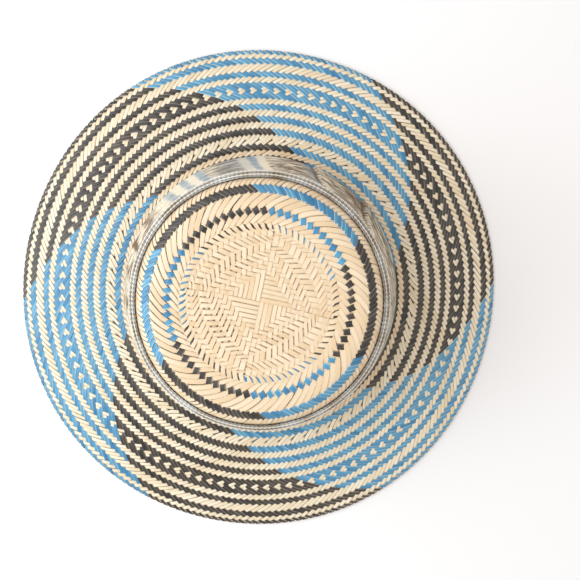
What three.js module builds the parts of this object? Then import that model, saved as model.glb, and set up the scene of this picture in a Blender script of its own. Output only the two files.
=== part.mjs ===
// Sun hat: a straw crown and brim woven in one piece, a cloth band round the crown,
// and the corded edge of that band. Millimetres, +Z up. The origin is the centre of the
// brim's outline, on the surface that the brim rests on.
import * as THREE from 'three';

// Driving dimensions: lengths in millimetres, angles in degrees.
const WALL = 2.0; // straw, two strips thick where they cross
const CLEARANCE = 0.3; // between the straw and what is wrapped round it
const CROWN_OFFSET_X = 3.0; // the crown sits this far from the centre of the brim's outline
const BAND_THICKNESS = 2.0;
const CORD_THICKNESS = 2.0;
const RIM_WIDTH = 1.2; // plaited edge, past the end of the brim's wall
const RIM_DROP = 0.9; // the strips fold back under the brim here, so the edge is deeper
const RIM_HEIGHT = 1.8; // where the plaited edge is widest
const RIM_UNDERCUT = 0.5; // how far its underside draws back from there
const RIM_FOOT = 2.2; // flat underside of the plaited edge
const SEGMENTS = 72; // round the hat
const FINE = 4; // lengths of a finer walk along the profile, for each plain one

// The hat's profile, from the centre of the crown outwards along the middle of the wall.
// run is the length of each stretch and turn is how far it bends downwards over that length.
const PROFILE = [
  { stretch: 'centre', run: 22, turn: 0, steps: 1 },
  { stretch: 'top', run: 41, turn: 3, steps: 2 },
  { stretch: 'shoulder', run: 21.5, turn: 77.5, steps: 6 },
  { stretch: 'wall', run: 70, turn: 0, steps: 2 },
  { stretch: 'base', run: 11, turn: -71.5, steps: 4 },
  { stretch: 'brim', run: 69, turn: 5.6, steps: 4 },
  { stretch: 'edge', run: 5, turn: 0.4, steps: 1 },
];

// Where the band and its corded edge lie, as distances along the same profile, and how many
// lengths each is made of.
const CORD_START = 79.2;
const CORD_END = 86.6;
const CORD_STEPS = 3;
const BAND_START = 87;
const BAND_END = 157;
const BAND_STEPS = 6;

// The brim's outline swells a little, waves times round, most at peak.
const SWELLS = [
  { waves: 2, size: 1.1, peak: 69 },
  { waves: 4, size: 0.5, peak: 31 },
];

// Pinched folds in the band: each is a ridge that leans as it runs down the crown.
const FOLDS = [
  { azimuth: 59, height: 1.4, width: 7, lean: 0.12 },
  { azimuth: 32, height: 1.6, width: 7, lean: 0.15 },
];

const STRAW_FINISH = { color: 0xe8d2ac, roughness: 0.62 };
const BAND_FINISH = { color: 0xa8967c, roughness: 0.9 };
const CORD_FINISH = { color: 0xd8cbb4, roughness: 0.85 };

const radians = THREE.MathUtils.degToRad;

// One point after another along the profile: distance, radius, height and downward slope.
function walkProfile(finer = 1) {
  const stations = [{ distance: 0, radius: 0, height: 0, slope: 0 }];
  let here = stations[0];
  for (const { run, turn, steps } of PROFILE) {
    const count = steps * finer;
    const bend = radians(turn) / count;
    // A chord of an arc points half way between the slopes at its two ends.
    const chord = bend === 0 ? run / count : (2 * run * Math.sin(bend / 2)) / (count * bend);
    for (let i = 0; i < count; i += 1) {
      here = {
        distance: here.distance + run / count,
        radius: here.radius + chord * Math.cos(here.slope + bend / 2),
        height: here.height - chord * Math.sin(here.slope + bend / 2),
        slope: here.slope + bend,
      };
      stations.push(here);
    }
  }
  return stations;
}

const STATIONS = walkProfile();
const BRIM_INDEX = PROFILE.findIndex(({ stretch }) => stretch === 'brim');
const BASE_DISTANCE = PROFILE.slice(0, BRIM_INDEX).reduce((sum, { run }) => sum + run, 0);
const EDGE = STATIONS[STATIONS.length - 1];

// A point beside the wall's middle, moved out along the wall's normal.
function beside({ distance, radius, height, slope }, offset) {
  return {
    distance,
    radius: distance === 0 ? 0 : radius + offset * Math.sin(slope),
    height: height + offset * Math.cos(slope),
  };
}

// The lowest point is the foot of the plaited edge, which is where the height starts.
const GROUND = beside(EDGE, -WALL / 2).height - RIM_DROP;

// The share of a swell or an offset that is felt at a distance along the profile:
// none at the foot of the crown, all at the brim's edge.
function brimShare(distance) {
  const share = THREE.MathUtils.clamp((distance - BASE_DISTANCE) / (EDGE.distance - BASE_DISTANCE), 0, 1);
  return share * share * (3 - 2 * share);
}

// Puts a profile point at an angle round the hat.
function place({ distance, radius, height }, angle) {
  const share = brimShare(distance);
  const swell = SWELLS.reduce((sum, { waves, size, peak }) => (
    sum + size * Math.cos(waves * (angle - radians(peak)))), 0);
  const reach = radius + share * swell;
  return new THREE.Vector3(
    reach * Math.cos(angle) + CROWN_OFFSET_X * (1 - share),
    reach * Math.sin(angle),
    height - GROUND,
  );
}

// Turns a profile round the crown's axis. The profile runs from the axis back to the axis,
// or closes on itself when it never meets the axis. spread can push points out as they turn.
function revolve(profile, spread = () => 0) {
  const vertices = [];
  const rows = profile.map((point) => {
    const turns = point.radius === 0 ? 1 : SEGMENTS;
    return Array.from({ length: turns }, (_, i) => {
      const angle = (2 * Math.PI * i) / SEGMENTS;
      const grown = { ...point, radius: point.radius + spread(point, angle) };
      vertices.push(...place(grown, angle).toArray());
      return vertices.length / 3 - 1;
    });
  });
  const closes = rows[0].length > 1;
  const faces = [];
  for (let row = 0; row < rows.length - (closes ? 0 : 1); row += 1) {
    const upper = rows[row];
    const lower = rows[(row + 1) % rows.length];
    for (let i = 0; i < SEGMENTS; i += 1) {
      const next = (i + 1) % SEGMENTS;
      if (upper.length > 1) faces.push(upper[i], lower[i % lower.length], upper[next]);
      if (lower.length > 1) faces.push(upper[next % upper.length], lower[i], lower[next]);
    }
  }
  const geometry = new THREE.BufferGeometry();
  geometry.setAttribute('position', new THREE.Float32BufferAttribute(vertices, 3));
  geometry.setIndex(faces);
  geometry.computeVertexNormals();
  return geometry;
}

// Crown and brim: the outside from the centre to the edge, the plaited edge with its flat
// foot, and the inside back to the centre.
function wovenBody() {
  const outside = STATIONS.map((station) => beside(station, WALL / 2));
  const inside = STATIONS.slice(0, -1).reverse().map((station) => beside(station, -WALL / 2));
  const { distance, radius } = EDGE;
  const rim = [
    { distance, radius: radius + RIM_WIDTH, height: GROUND + RIM_HEIGHT },
    { distance, radius: radius + RIM_WIDTH - RIM_UNDERCUT, height: GROUND },
    { distance, radius: radius + RIM_WIDTH - RIM_UNDERCUT - RIM_FOOT, height: GROUND },
  ];
  return revolve([...outside, ...rim, ...inside]);
}

// The profile's point at any distance, between two stations.
function stationAt(distance) {
  const fine = walkProfile(FINE);
  const after = fine.findIndex((station) => station.distance >= distance);
  const [a, b] = [fine[after - 1], fine[after]];
  const share = (distance - a.distance) / (b.distance - a.distance);
  const between = (key) => THREE.MathUtils.lerp(a[key], b[key], share);
  return { distance, radius: between('radius'), height: between('height'), slope: between('slope') };
}

// A layer wrapped round the crown between two distances. steps is how many lengths it has.
function wrapping(start, end, thickness, steps, spread) {
  const near = WALL / 2 + CLEARANCE;
  const stations = Array.from({ length: steps + 1 }, (_, i) => stationAt(start + ((end - start) * i) / steps));
  const outer = stations.map((station) => ({ ...beside(station, near + thickness), outer: true }));
  const inner = stations.map((station) => beside(station, near)).reverse();
  return revolve([...outer, ...inner], spread);
}

// The pinched folds stand out of the band's outer side only, and fade at its two edges.
function foldHeight({ distance, outer }, angle) {
  if (!outer) return 0;
  const along = (distance - BAND_START) / (BAND_END - BAND_START);
  const fade = Math.sin(Math.PI * THREE.MathUtils.clamp(along, 0, 1));
  return FOLDS.reduce((sum, { azimuth, height, width, lean }) => {
    const centre = radians(azimuth) + radians(lean) * (distance - BAND_START);
    const across = Math.atan2(Math.sin(angle - centre), Math.cos(angle - centre)) / radians(width);
    return sum + fade * height * Math.exp(-across * across);
  }, 0);
}

function addPart(group, name, geometry, finish) {
  const material = new THREE.MeshStandardMaterial({ ...finish, metalness: 0 });
  const mesh = new THREE.Mesh(geometry, material);
  mesh.name = name;
  group.add(mesh);
}

const hat = new THREE.Group();
addPart(hat, 'woven_body', wovenBody(), STRAW_FINISH);
const band = wrapping(BAND_START, BAND_END, BAND_THICKNESS, BAND_STEPS, foldHeight);
addPart(hat, 'hat_band', band, BAND_FINISH);
const cords = wrapping(CORD_START, CORD_END, CORD_THICKNESS, CORD_STEPS);
addPart(hat, 'band_edge_cords', cords, CORD_FINISH);

export default hat;
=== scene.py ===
"""Sun hat: flat strips of straw woven over and under each other from the centre of the crown
to the edge of the brim, where they fold back, with a soft cloth strap and its corded edge
round the crown. Metres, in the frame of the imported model."""

import logging
import math
from dataclasses import dataclass, field
from enum import Enum
from typing import Any

import bpy
import numpy as np
from bpy.types import Material, Node, NodeSocket, NodeTree, Object
from mathutils import Matrix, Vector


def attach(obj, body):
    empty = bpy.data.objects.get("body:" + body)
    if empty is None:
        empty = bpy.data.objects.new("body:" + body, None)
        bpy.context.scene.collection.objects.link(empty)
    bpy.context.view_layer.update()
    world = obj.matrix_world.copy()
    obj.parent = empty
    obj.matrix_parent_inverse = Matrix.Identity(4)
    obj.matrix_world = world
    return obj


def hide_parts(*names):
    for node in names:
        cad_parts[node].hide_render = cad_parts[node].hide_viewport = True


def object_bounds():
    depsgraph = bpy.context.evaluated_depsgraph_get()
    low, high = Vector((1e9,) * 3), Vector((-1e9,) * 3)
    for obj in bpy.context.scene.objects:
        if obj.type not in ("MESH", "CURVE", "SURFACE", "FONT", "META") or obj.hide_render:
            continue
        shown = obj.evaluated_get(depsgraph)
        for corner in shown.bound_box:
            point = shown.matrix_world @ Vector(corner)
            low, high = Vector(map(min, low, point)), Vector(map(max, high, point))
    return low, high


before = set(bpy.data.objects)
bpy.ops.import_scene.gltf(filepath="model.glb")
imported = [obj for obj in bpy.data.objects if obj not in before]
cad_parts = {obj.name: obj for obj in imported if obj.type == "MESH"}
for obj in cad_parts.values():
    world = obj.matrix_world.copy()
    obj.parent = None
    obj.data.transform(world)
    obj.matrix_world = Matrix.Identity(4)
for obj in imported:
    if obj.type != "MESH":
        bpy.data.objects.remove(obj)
CAD_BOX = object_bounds()

Array = np.ndarray
Span = tuple[float, float]

LOG = logging.getLogger("sun_hat")
MM = 1e-3
BODY = "root"
TINY = 1e-12


def linear(hex_colour: str) -> tuple[float, float, float, float]:
    """Turns an sRGB hex colour into a linear one, by the sRGB curve.

    Args:
        hex_colour: six hex digits after a #.

    Returns:
        Red, green, blue and an alpha of 1.
    """
    parts = [int(hex_colour[i:i + 2], 16) / 255 for i in (1, 3, 5)]
    curve = [c / 12.92 if c <= 0.04045 else ((c + 0.055) / 1.055) ** 2.4 for c in parts]
    return (*curve, 1.0)


def smooth_step(value: Array | float, low: float, high: float) -> Array:
    """Rises from 0 at low to 1 at high as 3t^2 - 2t^3, and is flat outside them."""
    share = np.clip((np.asarray(value, float) - low) / (high - low), 0, 1)
    return share * share * (3 - 2 * share)


def unit(vectors: Array) -> Array:
    """Divides each vector on the last axis by its length."""
    return vectors / np.maximum(np.linalg.norm(vectors, axis=-1, keepdims=True), TINY)


@dataclass(frozen=True)
class Stretch:
    """A stretch of the hat's half section: its length and how far it bends down over it."""

    name: str
    run: float
    turn: float


@dataclass(frozen=True)
class Swell:
    """A swell of the brim's outline, waves times round and most at peak, in degrees."""

    waves: int
    size: float
    peak: float


@dataclass(frozen=True)
class Profile:
    """The hat's shape: a half section carried round the crown's axis.

    The section is walked from the centre of the crown to the brim's edge, round the fold
    there and back underneath. The outline swells a little towards the edge, and the crown
    sits a little off the centre of that outline.
    """

    stretches: tuple[Stretch, ...] = (
        Stretch("centre", 22 * MM, 0),
        Stretch("top", 41 * MM, 3),
        Stretch("shoulder", 21.5 * MM, 77.5),
        Stretch("wall", 70 * MM, 0),
        Stretch("base", 11 * MM, -71.5),
        Stretch("brim", 69 * MM, 5.6),
        Stretch("edge", 4.7 * MM, 0.4),
        Stretch("fold", 1.75 * MM, 180),
        Stretch("return", 8 * MM, 0),
    )
    swells: tuple[Swell, ...] = (Swell(2, 1.1 * MM, 69), Swell(4, 0.5 * MM, 31))
    base_end: float = 165.5 * MM
    edge_end: float = 239.5 * MM
    crown_offset: float = 3 * MM
    half_wall: float = 1 * MM
    steps: int = 24

    def walk(self) -> tuple[Array, Array, Array, Array]:
        """Walks the section in short chords, each pointing half way between its end slopes.

        Returns:
            Distance along the section, radius, height and downward slope at each point.
        """
        run = np.repeat([s.run / self.steps for s in self.stretches], self.steps)
        bend = np.repeat([math.radians(s.turn) / self.steps for s in self.stretches], self.steps)
        slope = np.concatenate([[0], np.cumsum(bend)])
        middle = slope[:-1] + bend / 2
        chord = run * np.sinc(bend / 2 / math.pi)
        distance = np.concatenate([[0], np.cumsum(run)])
        radius = np.concatenate([[0], np.cumsum(chord * np.cos(middle))])
        height = np.concatenate([[0], -np.cumsum(chord * np.sin(middle))])
        return distance, radius, height + CAD_BOX[1][2] - self.half_wall, slope

    def surface(self, distance: Array, azimuth: Array, offset: Array) -> Array:
        """Puts points beside the middle of the wall: the section's point, moved along the
        wall's normal and turned round the crown's axis.

        Args:
            distance: along the section, from the centre of the crown.
            azimuth: round the hat, in degrees.
            offset: out from the middle of the wall.

        Returns:
            The points, with x, y and z on a last axis.
        """
        along, radii, heights, slopes = self.walk()
        radius, height, slope = (np.interp(distance, along, part) for part in (radii, heights, slopes))
        angle = np.radians(azimuth)
        share = smooth_step(distance, self.base_end, self.edge_end)
        swell = sum(s.size * np.cos(s.waves * (angle - math.radians(s.peak))) for s in self.swells)
        reach = radius + offset * np.sin(slope) + share * swell
        x = reach * np.cos(angle) + self.crown_offset * (1 - share)
        return np.stack([x, reach * np.sin(angle), height + offset * np.cos(slope)], axis=-1)

    def normal(self, distance: Array, azimuth: Array) -> Array:
        """Gives the outward direction of the wall: sin slope outwards and cos slope upwards.

        Args:
            distance: along the section.
            azimuth: round the hat, in degrees.

        Returns:
            Vectors of length 1.
        """
        along, _, _, slopes = self.walk()
        slope = np.interp(distance, along, slopes)
        angle = np.radians(azimuth)
        flat = np.sin(slope)
        return np.stack([flat * np.cos(angle), flat * np.sin(angle), np.cos(slope)], axis=-1)

    @staticmethod
    def around(azimuth: Array) -> Array:
        """Gives the level direction round the hat, (-sin, cos, 0) of the azimuth."""
        angle = np.radians(azimuth)
        return np.stack([-np.sin(angle), np.cos(angle), np.zeros_like(angle)], axis=-1)


HAT = Profile()


def make_object(name: str, points: Array, faces: Array, uv: Array,
                values: dict[str, Array], material: Material,
                sharp: Array | None = None) -> Object:
    """Makes a mesh object from whole arrays.

    Args:
        name: the piece's name.
        points: its vertices.
        faces: four vertex numbers a face, turning left as seen from outside.
        uv: a pattern coordinate for each vertex, in metres.
        values: named numbers for each vertex.
        material: its finish.
        sharp: for each vertex its line along the piece, or a negative number. An edge along
            a line of number 0 or more is a sharp one.

    Returns:
        The new object, linked to the scene.
    """
    mesh = bpy.data.meshes.new(name)
    mesh.from_pydata(points.reshape(-1, 3).tolist(), [], faces.reshape(-1, 4).tolist())
    corners = np.empty(len(mesh.loops), np.int32)
    mesh.loops.foreach_get("vertex_index", corners)
    layer = mesh.uv_layers.new(name="pattern")
    layer.data.foreach_set("uv", uv.reshape(-1, 2)[corners].astype(np.float32).ravel())
    for key, value in values.items():
        attribute = mesh.attributes.new(key, "FLOAT", "POINT")
        attribute.data.foreach_set("value", value.astype(np.float32).ravel())
    mesh.polygons.foreach_set("use_smooth", np.ones(len(mesh.polygons), bool))
    if sharp is not None:
        ends = np.empty(len(mesh.edges) * 2, np.int32)
        mesh.edges.foreach_get("vertices", ends)
        lines = sharp.ravel()[ends.reshape(-1, 2)]
        crease = mesh.attributes.new("sharp_edge", "BOOLEAN", "EDGE")
        crease.data.foreach_set("value", (lines[:, 0] == lines[:, 1]) & (lines[:, 0] >= 0))
    mesh.materials.append(material)
    mesh.update()
    piece = bpy.data.objects.new(name, mesh)
    bpy.context.scene.collection.objects.link(piece)
    return piece


def declare(piece: Object, node: str) -> Object:
    """Fixes a piece to the hat, in the place of a plain solid, and logs it.

    Args:
        piece: the new piece.
        node: the plain solid that it stands for.

    Returns:
        The piece.
    """
    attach(piece, BODY)
    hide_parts(node)
    LOG.info("%s: %d faces", piece.name, len(piece.data.polygons))
    return piece


def add(tree: NodeTree, kind: str, settings: dict[str, Any] | None = None,
        **inputs: Any) -> Node:
    """Adds a node, with its settings and links.

    Args:
        tree: the node tree.
        kind: the node's type, without ShaderNode before it.
        settings: values of the node's own properties.
        **inputs: a value, another node's socket, or a node, for its first socket. Each is
            named as the input is, in small letters with _ for a space, or _ and its number.

    Returns:
        The node.
    """
    node = tree.nodes.new(f"ShaderNode{kind}")
    for key, value in (settings or {}).items():
        setattr(node, key, value)
    named = {}
    for number, socket in enumerate(node.inputs):
        named.setdefault(socket.name.lower().replace(" ", "_"), socket)
        named[f"_{number}"] = socket
    for key, value in inputs.items():
        if isinstance(value, Node):
            value = value.outputs[0]
        if isinstance(value, NodeSocket):
            tree.links.new(value, named[key])
        else:
            named[key].default_value = value
    return node


def blank_material(name: str) -> tuple[Material, NodeTree, Node]:
    """Starts a material that follows a piece's own pattern coordinate.

    Args:
        name: its name.

    Returns:
        The material, its node tree and the node that gives the coordinate, in metres.
    """
    material = bpy.data.materials.new(name)
    material.use_nodes = True
    tree = material.node_tree
    tree.nodes.clear()
    return material, tree, add(tree, "UVMap", {"uv_map": "pattern"})


def grain(tree: NodeTree, place: Node, length: float, width: float,
          detail: float, wave: float = 0.0,
          layer: Node | tuple[float, float, float] = (0, 0, 0)) -> NodeSocket:
    """Adds noise that is drawn out along the fibres: one spot is length by width.

    Args:
        tree: the node tree.
        place: the pattern coordinate, in metres.
        length: the spots' length.
        width: their width.
        detail: how many finer layers the noise has.
        wave: how much the spots bend, as a share of their width.
        layer: a shift that may differ from strip to strip.

    Returns:
        The noise, from 0 to 1.
    """
    scaled = add(tree, "VectorMath", {"operation": "MULTIPLY_ADD"}, _0=place,
                 _1=(1 / length, 1 / width, 0), _2=layer)
    return add(tree, "TexNoise", vector=scaled, scale=1.0, detail=detail,
               roughness=0.55, distortion=wave).outputs["Fac"]


class Family(Enum):
    """The two ways that strips run as they leave the centre, seen from above."""

    CLOCKWISE = -1
    COUNTER = 1


class Dye(Enum):
    """The three colours of straw, by the record's material slots."""

    NATURAL = "straw_natural"
    BLUE = "straw_blue"
    BLACK = "straw_black"


@dataclass(frozen=True)
class StrawFinish:
    """Split palm-leaf straw, dried and scraped flat, plain or dyed.

    The leaf gives the eye fine fibres along each strip, a tone of its own on each
    strip, a waxy sheen that lies across the fibres and paler streaks where the dye did not
    take. A thin line of another tone is painted along each strip's edge: on natural straw a
    darker one, painted shade between the strips, and on dyed straw a paler one.
    """

    name: str
    light: str
    deep: str
    streak: str
    streak_share: float
    edge: str
    edge_share: float
    roughness: float = 0.42
    anisotropy: float = 0.8
    gloss: float = 0.9
    fibre_width: float = 0.32 * MM
    fibre_length: float = 16 * MM
    patch_width: float = 2.4 * MM
    patch_length: float = 26 * MM
    bump_height: float = 0.05 * MM
    # Ranges of tone: a strip's own number plus its patches goes from deep to light over tones,
    # and its edge shows more over uneven. edges are places across the strip, and streaks come
    # out where the fibres pass streak_level, less streak_reach for the share of streaks.
    strand_shift: float = 91.0
    tones: Span = (0.35, 1.45)
    uneven: Span = (0.55, 1.2)
    edges: Span = (0.26, 0.4)
    streak_level: float = 0.72
    streak_reach: float = 0.3
    streak_fade: float = 0.16
    streak_cover: float = 0.8

    def material(self) -> Material:
        """Builds the material.

        Returns:
            The finish as a node material.
        """
        material, tree, place = blank_material(self.name)
        strand = add(tree, "Attribute", {"attribute_name": "strand"}).outputs["Fac"]
        apart = add(tree, "Math", {"operation": "MULTIPLY"}, _0=strand, _1=self.strand_shift)
        layer = add(tree, "CombineXYZ", z=apart)
        fibres = grain(tree, place, self.fibre_length, self.fibre_width, 3.0, layer=layer)
        patches = grain(tree, place, self.patch_length, self.patch_width, 2.0, layer=layer)
        tone = add(tree, "Math", {"operation": "ADD"}, _0=strand, _1=patches)
        share = add(tree, "MapRange", value=tone, from_min=self.tones[0],
                    from_max=self.tones[1])
        body = add(tree, "Mix", {"data_type": "RGBA"}, factor=share,
                   _6=linear(self.deep), _7=linear(self.light)).outputs[2]
        threshold = self.streak_level - self.streak_reach * self.streak_share
        pale = add(tree, "MapRange", value=fibres, from_min=threshold,
                   from_max=threshold + self.streak_fade, to_max=self.streak_cover)
        coloured = add(tree, "Mix", {"data_type": "RGBA"}, factor=pale,
                       _6=body, _7=linear(self.streak)).outputs[2]
        # A thin line along each strip's edge in the edge colour: on natural straw it is darker, painted
        # shade between the strips; on dyed straw it is paler.
        across = add(tree, "Attribute", {"attribute_name": "across"}).outputs["Fac"]
        near_edge = add(tree, "MapRange", {"interpolation_type": "SMOOTHSTEP"}, value=across,
                        from_min=self.edges[0], from_max=self.edges[1])
        uneven = add(tree, "MapRange", value=tone, from_min=self.uneven[0],
                     from_max=self.uneven[1], to_max=self.edge_share)
        edge_line_share = add(tree, "Math", {"operation": "MULTIPLY"}, _0=near_edge, _1=uneven)
        edged = add(tree, "Mix", {"data_type": "RGBA"}, factor=edge_line_share,
                    _6=coloured, _7=linear(self.edge)).outputs[2]
        bump = add(tree, "Bump", strength=0.6, distance=self.bump_height,
                   height=fibres)
        along = add(tree, "Tangent", {"direction_type": "UV_MAP", "uv_map": "pattern"})
        shader = add(tree, "BsdfPrincipled", base_color=edged, normal=bump,
                     roughness=self.roughness, ior=1.45, specular_ior_level=self.gloss,
                     anisotropic=self.anisotropy, anisotropic_rotation=0.25, tangent=along)
        add(tree, "OutputMaterial", surface=shader)
        return material


# The fifth colour of each finish is painted along the strips' edges: on natural straw a darker tan that is
# painted shade between the strips, on dyed straw a paler line.
STRAW = {
    Dye.NATURAL: StrawFinish("straw_natural_split_leaf", "#f4dfbf", "#e8caa0", "#fdf1da", 0.1,
                             "#b8946a", 0.55),
    Dye.BLUE: StrawFinish("straw_dyed_blue", "#4f9fc6", "#2f79a6", "#7fb8cf", 0.3, "#dfe3da", 0.75),
    Dye.BLACK: StrawFinish("straw_dyed_black", "#3f3832", "#191614", "#857766", 0.35, "#c4b59b", 0.5),
}

# The brim's natural straw is a little paler than the crown's, made the same way, with the same darker edge
# line of painted shade between the strips.
BRIM_STRAW = StrawFinish("straw_natural_split_leaf_pale", "#f5e8ce", "#e8d2ae", "#fdf4e2", 0.1,
                         "#b39774", 0.55)

# Strips of each family in the crown's top, and how many of them side by side have one colour.
WIDE_STRIPS = 72
FIELD = 12


@dataclass(frozen=True)
class Zone:
    """A ring of the weave with the same number of strips all round.

    Each family's strip i passes azimuth start + (i + 1/2) pitch at first_row, and turns
    by its own angle with each row of crossings after that. The two turns add up to one
    pitch, so both families meet again in every row. Angles are in degrees.
    """

    strips: int
    first_row: float
    start: dict[Family, float]
    turn: dict[Family, float]

    @property
    def pitch(self) -> float:
        """The angle from one strip to the next."""
        return 360 / self.strips

    def azimuth(self, family: Family, strip: Array, row: Array) -> Array:
        """Gives the azimuths, in degrees, of a family's numbered strips in rows of crossings."""
        return self.start[family] + (strip + 0.5) * self.pitch + self.turn[family] * (row - self.first_row)

    def is_blue(self, strip: Array) -> Array:
        """Tells which counter-clockwise strips are blue: blue and black fields take turns."""
        wide = strip // (self.strips // WIDE_STRIPS)
        return (wide - FIELD // 2) % (2 * FIELD) < FIELD


TOP_ZONE = Zone(WIDE_STRIPS, 18, {Family.COUNTER: -12.0, Family.CLOCKWISE: -12.0},
                {Family.COUNTER: 1.6, Family.CLOCKWISE: -3.4})
WALL_ZONE = Zone(2 * WIDE_STRIPS, 25, {Family.COUNTER: -0.8, Family.CLOCKWISE: -35.8},
                 {Family.COUNTER: 1.2656, Family.CLOCKWISE: -1.2344})
BRIM_ZONE = Zone(3 * WIDE_STRIPS, 114.5, {Family.COUNTER: 112.55, Family.CLOCKWISE: -146.617},
                 {Family.COUNTER: 0.8683, Family.CLOCKWISE: -0.7984})


@dataclass(frozen=True)
class RowTable:
    """The rows of crossings: how far out each lies, and which family is on top in it."""

    rows: tuple[float, ...] = (0, 18, 21, 23, 25.5, 28.5, 31.5, 38, 104, 108, 111, 118, 124, 130,
                               148, 155, 160, 165)
    distances: tuple[float, ...] = (0, 45.6, 53.0, 60.2, 67.6, 73.3, 81.4, 90.0, 161.6, 166.0, 169.9,
                                    181.3, 190.0, 198.8, 222.2, 232.0, 239.3, 246.4)
    counter_top: tuple[tuple[int, int], ...] = (
        (8, 9), (11, 12), (15, 16), (18, 19), (22, 22),
        *((row, row + 2) for row in range(26, 105, 6)),
        (110, 112), (117, 119), (123, 125), (129, 131), (135, 143), (147, 149), (154, 156),
        (159, 160), (164, 165),
    )
    heart_rows: tuple[int, int] = (138, 140)

    def distance(self, row: Array) -> Array:
        """Gives how far a row lies along the section, straight between the table's rows."""
        return np.interp(row, self.rows, self.distances) * MM

    def counter_is_top(self, row: Array, strip: Array) -> Array:
        """Tells where the counter-clockwise strips are on top.

        In the middle of the widest dyed ring, natural straw comes up on half of the
        crossings, three at a time, which makes small arrowheads all round.

        Args:
            row: the rows' numbers.
            strip: the numbers of the counter-clockwise strips there.

        Returns:
            True where the counter-clockwise strip covers the other.
        """
        whole = np.rint(row).astype(int)
        top = np.zeros(np.broadcast(row, strip).shape, bool)
        for first, last in self.counter_top:
            top |= (whole >= first) & (whole <= last)
        low, high = self.heart_rows
        odd = strip % 2 == 1
        arrow = np.where(whole == low, odd, ~odd) & (whole >= low) & (whole <= high)
        return top & ~arrow


ROWS = RowTable()

# The brim's rows. Round the fold at its edge the strips need closer steps than a row.
BRIM_ROWS = np.concatenate([np.arange(115, 160), [159.6], np.arange(160, 162, 0.25), np.arange(162, 166)])


@dataclass
class Strips:
    """Strips of straw of one colour, as arrays with a line for each strip and a column for
    each step along it.

    Attributes:
        distance: along the hat's section.
        azimuth: round the hat, in degrees.
        lift: how far the strip's middle stands out from the middle of the weave.
        spacing: the angle to the next strip in the same row, in degrees.
        square: how far the weave there is the plain square one of the crown's centre.
        fill: the strip's width as a share of the room between its neighbours.
    """

    distance: Array
    azimuth: Array
    lift: Array
    spacing: Array
    square: Array
    fill: Array

    thickness: float = 0.38 * MM
    flat_share: float = 0.84
    square_side: float = 2.8 * MM
    roll: float = 1.6
    wander: float = 0.03
    rim: Span = (238.5 * MM, 241.5 * MM)
    rim_share: float = 0.7
    width_change: float = 0.03

    def mesh_arrays(self, random: np.random.Generator) -> tuple[Array, ...]:
        """Carries a flat section with bevelled edges along each strip.

        The strip's width is the distance between neighbours that lie spacing apart, seen
        square to the strip: s = |d - (d.t) t|, with d the step to the neighbour and t the
        strip's direction.

        Args:
            random: the seeded source of the small irregularities.

        Returns:
            Points, faces, pattern coordinates, strand numbers, places across the strip
            and sharp lines.
        """
        strips, steps = self.distance.shape
        shift = (random.normal(0, self.wander, (strips, 1))
                 + random.normal(0, self.wander / 2, (strips, steps)))
        azimuth = self.azimuth + shift * self.spacing
        flatter = 1 - self.rim_share * smooth_step(self.distance, *self.rim)
        centre = HAT.surface(self.distance, azimuth, self.lift * flatter)
        normal = HAT.normal(self.distance, azimuth)
        tangent = unit(np.gradient(centre, axis=1))
        reach = np.linalg.norm(centre[..., :2], axis=-1)
        neighbour = HAT.around(azimuth) * (reach * np.radians(self.spacing))[..., None]
        sideways = neighbour - tangent * (neighbour * tangent).sum(-1, keepdims=True)
        room = np.linalg.norm(sideways, axis=-1)
        change = 1 + random.normal(0, self.width_change, (strips, 1))
        width = self.fill * change * (self.square * self.square_side + (1 - self.square) * room)
        across = unit(np.cross(normal, tangent))
        up = np.cross(tangent, across)
        roll = np.radians(random.normal(0, self.roll, (strips, 1))
                          + random.normal(0, self.roll, (strips, steps)))
        side = across * np.cos(roll)[..., None] + up * np.sin(roll)[..., None]
        top = up * np.cos(roll)[..., None] - across * np.sin(roll)[..., None]
        flat = self.flat_share
        shape = np.array([(-flat, 1), (flat, 1), (1, 0), (flat, -1), (-flat, -1), (-1, 0)]) / 2
        lateral = shape[:, 0] * width[..., None]
        points = (centre[:, :, None] + side[:, :, None] * lateral[..., None]
                  + top[:, :, None] * (shape[:, 1] * self.thickness)[:, None])
        length = np.cumsum(np.linalg.norm(np.diff(centre, axis=1, prepend=centre[:, :1]), axis=-1), axis=1)
        uv = np.stack(np.broadcast_arrays(length[..., None], lateral), axis=-1)
        strand = np.broadcast_to(random.random((strips, 1, 1)), lateral.shape)
        across = np.broadcast_to(shape[:, 0], lateral.shape)
        bevel = np.array([True, True, False, True, True, False])
        line = np.arange(strips)[:, None, None] * len(bevel) + np.arange(len(bevel))
        sharp = np.broadcast_to(np.where(bevel, line, -1), lateral.shape)
        return points, self.faces(strips, steps), uv, strand, across, sharp

    @staticmethod
    def faces(strips: int, steps: int) -> Array:
        """Numbers the faces of closed strips: six sides at each step, and two at each end.

        Args:
            strips: how many strips.
            steps: how many sections each has.

        Returns:
            Four vertex numbers a face.
        """
        number = np.arange(strips * steps * 6).reshape(strips, steps, 6)
        here, ahead = number[:, :-1], number[:, 1:]
        sides = np.stack([here, ahead, np.roll(ahead, -1, 2), np.roll(here, -1, 2)], -1)
        first, last = number[:, 0], number[:, -1]
        ends = [first[:, [0, 1, 2, 5]], first[:, [5, 2, 3, 4]], last[:, [5, 2, 1, 0]], last[:, [4, 3, 2, 5]]]
        return np.concatenate([sides.reshape(-1, 4), *ends])


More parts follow.
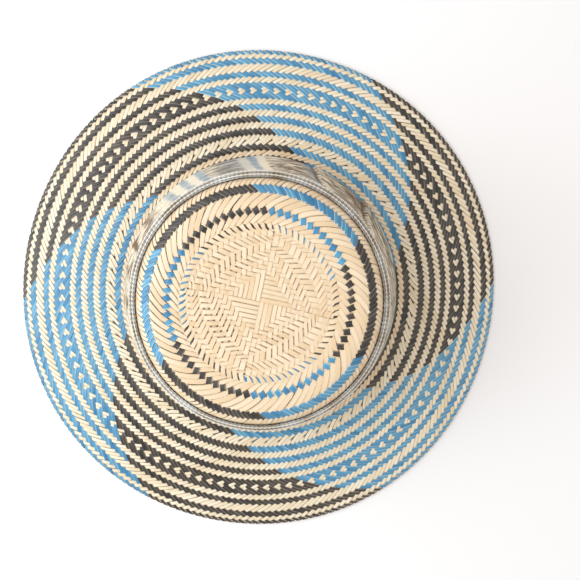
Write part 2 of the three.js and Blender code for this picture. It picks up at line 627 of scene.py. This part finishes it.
@dataclass
class Weave:
    """The straw of the crown and the brim, woven from the centre outwards."""

    seed: int = 7
    height: float = 0.38 * MM
    fill: float = 0.985
    # The centre's square weave opens into rings between two rows. Past them a strip's clockwise
    # end comes in through the first list of rows and its other end goes out through the second,
    # drawn aside over sliver_rows so that the dyed strips show beside it.
    square_until: float = 8
    round_from: float = 18
    clockwise_rows: tuple[float, ...] = (26.15, 25.65, 25, 24, 23, 22, 21, 20, 19)
    counter_rows: tuple[float, ...] = (19, 20, 20.6)
    sliver_rows: Span = (16.5, 18)
    sliver_share: float = 0.18
    sliver_shift: float = 0.3
    wider_rows: Span = (18, 20)
    wider_share: float = 0.02
    tip_lift: Span = (0, 0.8)
    centre_shift: Span = (0.5 * MM, 1.1 * MM)
    # The dyed strips of the top: their rows, and how narrow, far aside and low they start. They
    # stay low as far as top_sliver_end, and come into line over top_straighten.
    top_rows: tuple[float, ...] = (17.6, 18, 19, 20, 21, 21.3, 21.55, 22, 22.45, 22.7, 23, 24, 25, 25.3)
    top_fill: float = 0.8
    top_aside: float = 1.3
    top_below: float = 0.3 * MM
    top_sliver_end: float = 19.5
    top_straighten: Span = (20, 21.5)
    # The wall's natural strips start this much lower, and its dyed ring this much higher.
    wall_tuck: float = 0.35 * MM
    ring_rise: float = 0.12 * MM
    # The wall's dyed strips start with close steps, which keep the change of colour crisp.
    wall_start: tuple[float, ...] = (24.6, 25, 25.35, 25.62)
    # Where two strips become three, the dyed ones end and start again between two crossings,
    # and the new natural ones start just before that.
    splice_rows: Span = (112.5, 116)
    dyed_splice: float = 114.5
    natural_start: float = 114.4
    edge_rows: Span = (157, 159)
    edge_width: float = 0.8
    node: str = "woven_body"
    random: np.random.Generator = field(init=False)
    materials: dict[Dye, Material] = field(init=False)

    def __post_init__(self) -> None:
        """Starts the seeded source of irregularities and makes the dyes' finishes."""
        self.random = np.random.default_rng(self.seed)
        self.materials = {dye: finish.material() for dye, finish in STRAW.items()}

    def lift(self, on_top: Array) -> Array:
        """Gives how far strips stand out: height where on top, and as much inwards where not."""
        return np.where(on_top, self.height, -self.height)

    def piece(self, name: str, dye: Dye, groups: list[Strips],
              material: Material | None = None) -> Object:
        """Joins groups of strips of one colour into one object.

        Args:
            name: the piece's name.
            dye: its colour.
            groups: the strips.
            material: its finish, where that isn't the dye's own.

        Returns:
            The piece, fixed to the hat.
        """
        made = [group.mesh_arrays(self.random) for group in groups]
        counts = np.cumsum([0] + [points.size // 3 for points, *_ in made])
        points = np.concatenate([m[0].reshape(-1, 3) for m in made])
        faces = np.concatenate([m[1] + start for m, start in zip(made, counts)])
        uv = np.concatenate([m[2].reshape(-1, 2) for m in made])
        values = {key: np.concatenate([m[3 + place].ravel() for m in made])
                  for place, key in enumerate(("strand", "across"))}
        sharp = np.concatenate([m[5].ravel() for m in made])
        new = make_object(name, points, faces, uv, values, material or self.materials[dye], sharp)
        return declare(new, self.node)

    def centre_strips(self) -> list[Strips]:
        """Lays the 72 strips of the crown's centre.

        They start as a square weave of 36 by 36 strips. A crossing at (x, y) of that
        square is in row |x| + |y|, and further out the rows open into rings: a place is
        a blend of side * (x, y) and of row * ring_step at azimuth 90 y / row. One end of
        each strip goes on clockwise and the other counter-clockwise.

        Returns:
            The strips, four of each length.
        """
        groups = []
        half = self.round_from
        inward, outward = np.array(self.clockwise_rows), np.array(self.counter_rows)
        for x in np.arange(0.5, half, 1):
            y = np.arange(-(half - x), half - x + 0.5, 1)
            rows = np.concatenate([inward, x + np.abs(y), outward])
            lattice_y = np.concatenate([np.zeros(len(inward)), y, np.zeros(len(outward))])
            counter = np.concatenate([np.zeros(len(inward), bool), y > 0, np.ones(len(outward), bool)])
            square = 1 - smooth_step(rows, self.square_until, half)
            side = np.where(counter, 1, -1)
            turn = np.where(counter, TOP_ZONE.turn[Family.COUNTER], TOP_ZONE.turn[Family.CLOCKWISE])
            past = side * TOP_ZONE.pitch * (half - x) + turn * (rows - half)
            sliver = np.where(counter, smooth_step(rows, *self.sliver_rows), 0)
            ring = np.where(rows > half, past, 90 * (lattice_y / rows)) + self.sliver_shift * sliver
            radius = ROWS.distance(rows)
            scale = square * Strips.square_side
            u = scale * x + (1 - square) * radius * np.cos(np.radians(ring))
            v = scale * lattice_y + (1 - square) * radius * np.sin(np.radians(ring))
            lift = self.lift(ROWS.counter_is_top(rows, np.zeros_like(rows)) == counter)
            lift[:2] = np.array(self.tip_lift) * self.height
            wider = np.where(~counter, smooth_step(rows, *self.wider_rows), 0)
            width = self.fill * (1 - self.sliver_share * sliver) * (1 + self.wider_share * wider)
            quarters = TOP_ZONE.start[Family.COUNTER] + 90 * np.arange(4)[:, None]
            angle = np.radians(quarters + np.degrees(np.arctan2(v, u)))
            east = np.hypot(u, v) * np.cos(angle) + square * self.centre_shift[0]
            north = np.hypot(u, v) * np.sin(angle) + square * self.centre_shift[1]
            spread = np.ones((4, 1))
            groups.append(Strips(np.hypot(east, north), np.degrees(np.arctan2(north, east)),
                                 spread * lift, spread * np.maximum(90 / rows, TOP_ZONE.pitch),
                                 spread * square, spread * width))
        return groups

    def zone_strips(self, zone: Zone, family: Family, strip: Array, rows: Array,
                    fill: float | None = None) -> Strips:
        """Lays one family's strips of a zone through its rows.

        Args:
            zone: the ring of the weave.
            family: which way the strips run.
            strip: the strips' numbers.
            rows: the rows that they pass.
            fill: their width as a share of the room that they have.

        Returns:
            The strips.
        """
        strip, rows = np.broadcast_arrays(strip[:, None].astype(float), rows[None, :].astype(float))
        azimuth = zone.azimuth(family, strip, rows)
        if family is Family.COUNTER:
            crossed = strip
        else:
            start = zone.azimuth(Family.COUNTER, np.zeros_like(rows), rows)
            crossed = np.rint((azimuth - start) / zone.pitch)
        top = ROWS.counter_is_top(rows, crossed.astype(int)) == (family is Family.COUNTER)
        lift = self.lift(top)
        for end in (0, -1):
            if rows[0, end] % 1:
                lift[:, end] = -self.height
        return Strips(ROWS.distance(rows), azimuth, lift, np.full_like(rows, zone.pitch),
                      np.zeros_like(rows), np.full_like(rows, fill or self.fill))

    def top_dyed(self, strip: Array) -> Strips:
        """Lays the wide dyed strips that start in the crown's top.

        Each starts under a natural strip and shows beside it as a thin sliver, goes
        under, makes one block of the inner dyed ring, and goes under again.

        Args:
            strip: the strips' numbers.

        Returns:
            The strips.
        """
        rows = np.array(self.top_rows)
        made = self.zone_strips(TOP_ZONE, Family.COUNTER, strip, rows, self.top_fill)
        made.azimuth = made.azimuth - self.top_aside * (1 - smooth_step(rows, *self.top_straighten))
        made.lift = np.where(rows < self.top_sliver_end, self.height - self.top_below, made.lift)
        made.lift[:, 0] = -self.height
        return made

    def brim_natural(self) -> list[Strips]:
        """Lays the natural strips of the brim, where two strips of the crown become three.

        The first and third of each three carry on from the crown's two, and move to
        their new places over the splice's rows. The second starts under them.

        Returns:
            The strips.
        """
        wide = np.arange(WIDE_STRIPS)
        rows = np.concatenate([np.arange(111, BRIM_ROWS[0]), BRIM_ROWS])
        share = smooth_step(rows, *self.splice_rows)
        groups = []
        for old, new in ((0, 0), (1, 2)):
            made = self.zone_strips(BRIM_ZONE, Family.CLOCKWISE, wide * 3 + new, rows)
            before = WALL_ZONE.azimuth(Family.CLOCKWISE, (wide * 2 + old)[:, None], rows)
            made.azimuth = before * (1 - share) + made.azimuth * share
            made.spacing = WALL_ZONE.pitch * (1 - share) + made.spacing * share
            groups.append(made)
        late = np.append(self.natural_start, BRIM_ROWS)
        return [*groups, self.zone_strips(BRIM_ZONE, Family.CLOCKWISE, wide * 3 + 1, late)]

    def build(self) -> list[Object]:
        """Weaves the hat, one piece for each colour and part.

        Returns:
            The pieces.
        """
        counter = Family.COUNTER
        wall = self.zone_strips(WALL_ZONE, Family.CLOCKWISE, np.arange(WALL_ZONE.strips), np.arange(25, 112))
        wall.lift[:, 0] = self.height - self.wall_tuck
        pieces = [
            self.piece("straw_crown_top", Dye.NATURAL, self.centre_strips()),
            self.piece("straw_crown_wall", Dye.NATURAL, [wall]),
            self.piece("straw_brim", Dye.NATURAL, self.brim_natural(), BRIM_STRAW.material()),
        ]
        crown_rows = np.concatenate([self.wall_start, np.arange(26, 115), [self.dyed_splice]])
        ring_start = (crown_rows > 25.5) & (crown_rows < 26.5)
        brim_rows = np.append(self.dyed_splice, BRIM_ROWS)
        for dye in (Dye.BLUE, Dye.BLACK):
            in_top, in_wall, in_brim = (
                np.flatnonzero(zone.is_blue(np.arange(zone.strips)) == (dye is Dye.BLUE))
                for zone in (TOP_ZONE, WALL_ZONE, BRIM_ZONE))
            crown = [self.top_dyed(in_top), self.zone_strips(WALL_ZONE, counter, in_wall, crown_rows)]
            crown[1].lift += self.ring_rise * ring_start
            brim = self.zone_strips(BRIM_ZONE, counter, in_brim, brim_rows)
            brim.fill *= 1 - (1 - self.edge_width) * smooth_step(brim_rows, *self.edge_rows)
            colour = dye.value.removeprefix("straw_")
            pieces.append(self.piece(f"straw_crown_{colour}", dye, crown))
            pieces.append(self.piece(f"straw_brim_{colour}", dye, [brim]))
        return pieces


@dataclass(frozen=True)
class ClothFinish:
    """Loosely woven cotton strap of undyed and tinted yarns.

    The yarns run round the hat and give the eye long broken streaks of cream, grey and
    brown, a matt face with a soft bloom, and a few bars where blue yarn comes up. Part of
    the brown is painted shade, in the creases of the strap's folds and under its cords.
    """

    name: str = "cotton_strap_melange"
    cream: str = "#eee0c5"
    brown: str = "#735a40"
    blue: str = "#7d9db0"
    grey: str = "#c4c2b0"
    yarn_width: float = 1.05 * MM
    yarn_length: float = 11 * MM
    yarn_wave: float = 0.7
    patch_weight: float = 0.45
    speck_weight: float = 0.4
    brown_range: Span = (0.68, 0.87)
    blue_range: Span = (0.35, 0.6)
    blue_least: float = 0.25
    bump_height: float = 0.5 * MM

    def material(self) -> Material:
        """Builds the material.

        Returns:
            The finish as a node material.
        """
        material, tree, place = blank_material(self.name)
        yarns = grain(tree, place, self.yarn_length, self.yarn_width, 2.0, self.yarn_wave)
        specks = grain(tree, place, self.yarn_length / 8, self.yarn_width / 2, 2.0)
        patches = grain(tree, place, self.yarn_length * 2, self.yarn_width * 6, 1.0)
        brown, blue, grey = (add(tree, "Attribute", {"attribute_name": key}).outputs["Fac"]
                             for key in ("brown", "blue", "grey"))
        patchy = add(tree, "Math", {"operation": "MULTIPLY_ADD"}, _0=patches,
                     _1=self.patch_weight, _2=yarns)
        # The brown attribute adds brown yarn, and also painted shade in the folds' creases and under the
        # cords.
        darker = add(tree, "Math", {"operation": "ADD"}, _0=patchy, _1=brown)
        share = add(tree, "MapRange", value=darker,
                    from_min=self.brown_range[0], from_max=self.brown_range[1])
        pale = add(tree, "Mix", {"data_type": "RGBA"}, factor=grey,
                   _6=linear(self.cream), _7=linear(self.grey)).outputs[2]
        melange = add(tree, "Mix", {"data_type": "RGBA"}, factor=share,
                      _6=pale, _7=linear(self.brown)).outputs[2]
        broken = add(tree, "MapRange", value=specks, from_min=self.blue_range[0],
                     from_max=self.blue_range[1], to_min=self.blue_least)
        bars = add(tree, "Math", {"operation": "MULTIPLY"}, _0=broken, _1=blue)
        coloured = add(tree, "Mix", {"data_type": "RGBA"}, factor=bars,
                       _6=melange, _7=linear(self.blue)).outputs[2]
        relief = add(tree, "Math", {"operation": "MULTIPLY_ADD"}, _0=specks,
                     _1=self.speck_weight, _2=yarns)
        bump = add(tree, "Bump", strength=0.8, distance=self.bump_height,
                   height=relief)
        shader = add(tree, "BsdfPrincipled", base_color=coloured, normal=bump,
                     roughness=0.92, ior=1.45, specular_ior_level=0.2, sheen_weight=0.25,
                     sheen_roughness=0.5)
        add(tree, "OutputMaterial", surface=shader)
        return material


@dataclass(frozen=True)
class Bar:
    """A bar of colour or swelling down the strap: its middle and width in degrees, and how many
    degrees it leans for each millimetre down."""

    azimuth: float
    width: float
    strength: float
    lean: float = 0.0


@dataclass(frozen=True)
class Fold:
    """A place where the strap folds over itself: a low ridge, and a groove on its other side,
    with a steep crease between them. Widths are in degrees, and it leans as a bar does."""

    azimuth: float
    height: float
    lean: float
    ridge_width: float = 5
    groove_width: float = 2.5
    groove_share: float = 0.7
    crease: float = 0.35
    top_share: float = 0.4


@dataclass(frozen=True)
class Wave:
    """A slow wave of the pleats: how many times round, its size in pleats, and its phase."""

    times: int
    size: float
    phase: float


def past(mark: Bar | Fold, azimuth: Array, down: Array) -> Array:
    """Gives how far azimuths lie past a mark's leaning middle, from -180 to 180 degrees."""
    return (azimuth - mark.azimuth - mark.lean * down / MM + 180) % 360 - 180


@dataclass
class Strap:
    """The soft cloth strap wrapped round the crown's wall, folded over itself twice."""

    start: float = 80.4 * MM
    end: float = 157.0 * MM
    inner: float = 1.2 * MM
    thickness: float = 1.7 * MM
    edge_share: float = 0.3
    edge_round: float = 5 * MM
    least: float = 0.5 * MM
    wrap_radius: float = 90 * MM
    pattern_radius: float = 87 * MM
    # The lip below the cords rises and falls over these distances, and its top, under the cords, is painted
    # browner as painted shade beneath the cords.
    lip: float = 1.2 * MM
    lip_rise: Span = (1 * MM, 7 * MM)
    lip_fall: Span = (8 * MM, 30 * MM)
    lip_painted_shade: float = 0.4
    lip_painted_shade_end: Span = (3.5 * MM, 5.5 * MM)
    # The pleats fill the strap's face below the lip's top, and the foot swells over the brim.
    pleats_from: float = 6.5 * MM
    pleats_run: float = 70 * MM
    pleat: float = 1.7 * MM
    pleat_spacing: float = 8.5 * MM
    pleat_level: float = 0.6
    pleat_fade: float = 0.06
    drifts: tuple[Wave, ...] = (Wave(2, 0.9, 0.8), Wave(5, 0.45, 2.1), Wave(11, 0.2, 0))
    # The pleats also sway, and grow deeper and shallower, ripples times round the hat. Both
    # ripples lean, by this many radians from the pleats' top to their foot.
    ripples: int = 3
    sway: float = 0.35
    sway_lean: float = 5
    depth_change: float = 0.35
    depth_lean: float = 7
    depth_phase: float = 1.3
    foot_bulge: float = 1.8 * MM
    foot_from: Span = (0.35, 0.85)
    bulges: tuple[Bar, ...] = (Bar(104, 34, 0.5), Bar(178, 32, 0.9), Bar(-40, 55, -0.85))
    steps_round: int = 600
    steps_down: int = 110
    node: str = "hat_band"
    slot: str = "band_cloth"
    blue: tuple[Bar, ...] = (Bar(89, 1.7, 1.0, 0.08), Bar(112.6, 2.0, 1.0, 0.08),
                             Bar(120.1, 1.8, 0.9, 0.08), Bar(128.4, 2.0, 0.9, 0.08),
                             Bar(101, 8, 0.3), Bar(62.5, 2.0, 0.6, 0.12))
    # Brown yarn bars. The narrow leaning bars at 60.4 and 33.4 degrees follow the two folds and are painted
    # shade in their creases.
    brown: tuple[Bar, ...] = (Bar(72, 10, 0.09), Bar(102, 8, 0.11), Bar(147, 3, 0.12), Bar(158, 1.8, 0.2),
                              Bar(46, 12, 0.12), Bar(18, 12, 0.09), Bar(60.4, 0.9, 0.2, 0.12),
                              Bar(33.4, 0.9, 0.22, 0.15), Bar(170, 3, 0.1), Bar(182, 2.5, 0.12))
    pale: tuple[Bar, ...] = (Bar(116.4, 2.0, 0.3, 0.08), Bar(124.2, 2.0, 0.3, 0.08), Bar(136, 4, 0.15),
                             Bar(85.5, 1.8, 0.25, 0.08), Bar(93, 2.2, 0.25, 0.08),
                             Bar(57.5, 1.8, 0.08, 0.12), Bar(30, 1.8, 0.08, 0.15))
    grey: tuple[Bar, ...] = (Bar(101, 9, 0.45), Bar(-45, 40, 0.7))
    foot_grey: tuple[Bar, ...] = (Bar(15, 45, 0.8),)
    foot_grey_start: Span = (36 * MM, 52 * MM)
    folds: tuple[Fold, ...] = (Fold(59, 1.9 * MM, 0.12), Fold(32, 2.2 * MM, 0.15))

    @staticmethod
    def bars(bars: tuple[Bar, ...], azimuth: Array, down: Array) -> Array:
        """Adds up bars, each exp(-(a / width)^4) of the angle a from its leaning middle.

        Args:
            bars: where they are.
            azimuth: round the hat, in degrees.
            down: the distance from the strap's upper edge.

        Returns:
            The strength at each place.
        """
        total = np.zeros(np.broadcast(azimuth, down).shape)
        for bar in bars:
            total += bar.strength * np.exp(-(past(bar, azimuth, down) / bar.width) ** 4)
        return total

    def relief(self, azimuth: Array, down: Array) -> Array:
        """Gives how far the strap's face stands out from its plain thickness.

        The cloth is gathered into soft pleats that run round the hat: the pleat's height
        times |sin(pi p)| less a level, with p the distance down in pleats, which drifts as the
        strap goes round. Each fold is a ridge that falls off clockwise as exp(a / width), with
        a groove on its other side. The foot swells over the brim, and below the cords the edge
        stands out as a lip.

        Args:
            azimuth: round the hat, in degrees.
            down: the distance from the strap's upper edge.

        Returns:
            The height, in metres.
        """
        share = np.maximum(down - self.pleats_from, 0) / self.pleats_run
        turn = np.radians(azimuth)
        drift = sum(wave.size * np.sin(wave.times * turn + wave.phase) for wave in self.drifts)
        sway = self.sway * np.sin(self.sway_lean * share + self.ripples * turn)
        pleats = down / self.pleat_spacing + drift + sway
        ripple = np.sin(self.ripples * turn + self.depth_lean * share + self.depth_phase)
        strength = 1 - self.depth_change + self.depth_change * ripple
        total = self.pleat * strength * (np.abs(np.sin(math.pi * pleats)) - self.pleat_level)
        swelling = self.foot_bulge * (1 + self.bars(self.bulges, azimuth, down))
        total += swelling * smooth_step(share, *self.foot_from)
        total *= smooth_step(np.minimum(share, 1 - share), 0, self.pleat_fade)
        total += self.lip * smooth_step(down, *self.lip_rise) * (1 - smooth_step(down, *self.lip_fall))
        for fold in self.folds:
            away = past(fold, azimuth, down)
            ridge = fold.height * np.exp(np.minimum(away, 0) / fold.ridge_width)
            groove = -fold.groove_share * fold.height * np.exp(-np.maximum(away, 0) / fold.groove_width)
            step = groove + (ridge - groove) * (1 - smooth_step(away, -fold.crease, fold.crease))
            grown = fold.top_share + (1 - fold.top_share) * share
            total += step * grown * smooth_step(share, 0, self.pleat_fade / 2)
        return total

    def build(self) -> Object:
        """Makes the strap: a flat loop of cloth, its face worked out on a grid, closed by a
        plain inner side.

        Returns:
            The piece, fixed to the hat.
        """
        turn = np.linspace(0, 360, self.steps_round, endpoint=False)[:, None]
        face = np.linspace(self.start, self.end, self.steps_down + 1)
        back = np.linspace(self.end, self.start, 6)[1:-1]
        distance = np.concatenate([face, [self.end], back, [self.start]])[None, :]
        on_face = np.arange(distance.shape[1]) < len(face)
        down = distance - self.start
        room = np.minimum(down, self.end - distance)
        rounded = self.edge_share + (1 - self.edge_share) * smooth_step(room, 0, self.edge_round)
        stand = self.thickness * rounded + self.relief(turn, down)
        offset = self.inner + np.where(on_face, np.maximum(stand, self.least), 0)
        points = HAT.surface(distance, turn, offset)
        number = np.arange(offset.size).reshape(offset.shape)
        ahead, below = np.roll(number, -1, 0), np.roll(number, -1, 1)
        faces = np.stack([number, below, np.roll(ahead, -1, 1), ahead], -1)
        uv = np.stack(np.broadcast_arrays(np.radians(turn) * self.pattern_radius, down), -1)
        values = {
            "blue": self.bars(self.blue, turn, down),
            # brown: brown yarn bars less pale ones, plus painted shade in the folds' creases and under the
            # cords at the strap's top.
            "brown": (self.bars(self.brown, turn, down) - self.bars(self.pale, turn, down)
                      + self.lip_painted_shade * (1 - smooth_step(down, *self.lip_painted_shade_end))),
            "grey": (self.bars(self.grey, turn, down)
                     + self.bars(self.foot_grey, turn, down) * smooth_step(down, *self.foot_grey_start)),
        }
        strap = make_object("cloth_strap", points, faces, uv, values, ClothFinish().material())
        declare(strap, self.node)
        return strap


@dataclass(frozen=True)
class YarnFinish:
    """Twisted cotton yarn, undyed or tinted: matt, with fine fibres wound round it, and a
    tinted one goes from grey-blue to brown and back along its length."""

    name: str
    light: str
    deep: str
    fibre: Span = (2.2 * MM, 0.35 * MM)
    patch: Span = (18 * MM, 9 * MM)
    tones: Span = (0.5, 1.0)
    fibre_weight: float = 0.5
    bump_height: float = 0.12 * MM

    def material(self) -> Material:
        """Builds the material.

        Returns:
            The finish as a node material.
        """
        material, tree, place = blank_material(self.name)
        fibres = grain(tree, place, *self.fibre, 3.0)
        patches = grain(tree, place, *self.patch, 1.0)
        both = add(tree, "Math", {"operation": "MULTIPLY_ADD"}, _0=fibres,
                   _1=self.fibre_weight, _2=patches)
        share = add(tree, "MapRange", value=both, from_min=self.tones[0],
                    from_max=self.tones[1])
        coloured = add(tree, "Mix", {"data_type": "RGBA"}, factor=share,
                       _6=linear(self.deep), _7=linear(self.light)).outputs[2]
        bump = add(tree, "Bump", strength=0.7, distance=self.bump_height,
                   height=fibres)
        shader = add(tree, "BsdfPrincipled", base_color=coloured, normal=bump,
                     roughness=0.9, ior=1.45, specular_ior_level=0.2, sheen_weight=0.2)
        add(tree, "OutputMaterial", surface=shader)
        return material


@dataclass
class EdgeCords:
    """The cords sewn along the strap's upper edge, each of two yarns twisted together:
    a melange one, a cream one, and so on outwards."""

    places: tuple[float, ...] = (79.8 * MM, 81.2 * MM, 82.7 * MM, 84.3 * MM)
    offsets: tuple[float, ...] = (1.7 * MM, 2.3 * MM, 2.9 * MM, 3.6 * MM)
    yarn_radius: float = 0.38 * MM
    twist_radius: float = 0.3 * MM
    pattern_radius: float = 82 * MM
    turns: int = 92
    steps_round: int = 1260
    sides: int = 6
    node: str = "band_edge_cords"
    slot: str = "band_cord"

    def yarn(self, place: float, offset: float, phase: float, start: int) -> tuple[Array, ...]:
        """Winds one yarn: a round section carried along a helix about the cord's middle.

        Args:
            place: where the cord's middle lies along the hat's section.
            offset: how far out it lies from the middle of the wall.
            phase: where the helix starts, in turns.
            start: the number of its first vertex.

        Returns:
            Points, faces and pattern coordinates.
        """
        turn = np.linspace(0, 360, self.steps_round, endpoint=False)[:, None]
        wind = np.radians(turn) * self.turns + 2 * math.pi * phase
        around = np.linspace(0, 2 * math.pi, self.sides, endpoint=False)[None, :]
        out = self.twist_radius * np.cos(wind) + self.yarn_radius * np.cos(around)
        along = self.twist_radius * np.sin(wind) + self.yarn_radius * np.sin(around)
        points = HAT.surface(place + along, turn, offset + out)
        number = start + np.arange(points.size // 3).reshape(self.steps_round, self.sides)
        ahead = np.roll(number, -1, 0)
        faces = np.stack([number, np.roll(number, -1, 1), np.roll(ahead, -1, 1), ahead], -1)
        uv = np.stack(np.broadcast_arrays(np.radians(turn) * self.pattern_radius,
                                          around * self.yarn_radius), -1)
        return points.reshape(-1, 3), faces.reshape(-1, 4), uv.reshape(-1, 2)

    def build(self) -> list[Object]:
        """Makes the melange yarns and the cream yarns, one piece of each.

        Returns:
            The two pieces.
        """
        finishes = (YarnFinish("cotton_yarn_melange", "#c4cacc", "#7a6850"),
                    YarnFinish("cotton_yarn_cream", "#faf3e6", "#e6dac6"))
        size = self.steps_round * self.sides
        cords = list(zip(self.places, self.offsets))
        pieces = []
        for first, finish in enumerate(finishes):
            winds = [(*cord, phase) for cord in cords[first::2] for phase in (0.0, 0.5)]
            parts = [self.yarn(*wind, size * number) for number, wind in enumerate(winds)]
            points, faces, uv = (np.concatenate(group) for group in zip(*parts))
            piece = make_object(finish.name.replace("cotton_yarn", "edge_cord"), points, faces, uv,
                                {}, finish.material())
            pieces.append(declare(piece, self.node))
        return pieces


@dataclass(frozen=True)
class Lamp:
    """A square soft lamp that faces the hat: the side that it stands on and how high, in
    degrees, how far away it is, its side, its watts and its colour."""

    name: str
    azimuth: float
    elevation: float
    away: float
    size: float
    power: float
    colour: str

    def hang(self) -> Object:
        """Hangs the lamp.

        Returns:
            The lamp.
        """
        data = bpy.data.lights.new(self.name, "AREA")
        data.size = self.size
        data.energy = self.power
        data.color = linear(self.colour)[:3]
        lamp = bpy.data.objects.new(self.name, data)
        lamp.matrix_world = (Matrix.Rotation(math.radians(self.azimuth + 90), 4, "Z")
                             @ Matrix.Rotation(math.radians(90 - self.elevation), 4, "X")
                             @ Matrix.Translation((0, 0, self.away)))
        bpy.context.scene.collection.objects.link(lamp)
        return lamp


@dataclass
class Studio:
    """A pale floor, soft light from the left and a camera above the hat."""

    camera_place: tuple[float, float, float] = (18.5 * MM, 51.5 * MM, 715.2 * MM)
    tip: float = 4.072
    swing: float = 0.318
    focal_pixels: float = 997.0
    frame_pixels: float = 580
    sensor: float = 36.0
    floor_size: float = 6.0
    floor_colour: str = "#f8f6f5"
    sky_colour: str = "#f9f7f6"
    sky_strength: float = 0.66
    lamps: tuple[Lamp, ...] = (Lamp("window", 165, 48, 1.6, 1.3, 14.5, "#fdfdff"),
                               Lamp("low_window", 190, 22, 1.6, 1.0, 10, "#d2eeff"),
                               Lamp("fill", 320, 50, 2.0, 1.8, 6, "#fff3e8"))

    def camera(self) -> Object:
        """Sets the camera above the hat, tipped and swung a little off straight down.

        Returns:
            The camera.
        """
        data = bpy.data.cameras.new("camera")
        data.sensor_width = self.sensor
        data.lens = self.focal_pixels / self.frame_pixels * self.sensor
        data.clip_start = 0.01
        camera = bpy.data.objects.new("camera", data)
        to_camera = (Matrix.Rotation(math.radians(self.tip), 4, "X")
                     @ Matrix.Rotation(math.radians(self.swing), 4, "Y"))
        camera.matrix_world = Matrix.Translation(self.camera_place) @ to_camera.transposed()
        bpy.context.scene.collection.objects.link(camera)
        bpy.context.scene.camera = camera
        return camera

    def floor(self) -> Object:
        """Lays the floor that the brim rests on, a pale matt sheet.

        Returns:
            The floor.
        """
        material = bpy.data.materials.new("matt_white_board")
        material.use_nodes = True
        shader = material.node_tree.nodes["Principled BSDF"]
        shader.inputs["Base Color"].default_value = linear(self.floor_colour)
        shader.inputs["Roughness"].default_value = 0.9
        half = self.floor_size / 2
        mesh = bpy.data.meshes.new("floor")
        mesh.from_pydata([(-half, -half, 0), (half, -half, 0), (half, half, 0), (-half, half, 0)],
                         [], [(0, 1, 2, 3)])
        mesh.materials.append(material)
        floor = bpy.data.objects.new("floor", mesh)
        bpy.context.scene.collection.objects.link(floor)
        return floor

    def build(self) -> None:
        """Sets the camera, the floor, the sky's even light and the lamps."""
        scene = bpy.context.scene
        scene.view_settings.view_transform = "Standard"
        world = bpy.data.worlds.new("studio")
        world.use_nodes = True
        background = world.node_tree.nodes["Background"]
        background.inputs["Color"].default_value = linear(self.sky_colour)
        background.inputs["Strength"].default_value = self.sky_strength
        scene.world = world
        self.camera()
        self.floor()
        for lamp in self.lamps:
            lamp.hang()


def main() -> None:
    """Builds the studio and the hat's parts."""
    logging.basicConfig(level=logging.INFO, format="%(name)s %(message)s")
    Studio().build()
    Weave().build()
    Strap().build()
    EdgeCords().build()


if __name__ == "__main__":
    main()
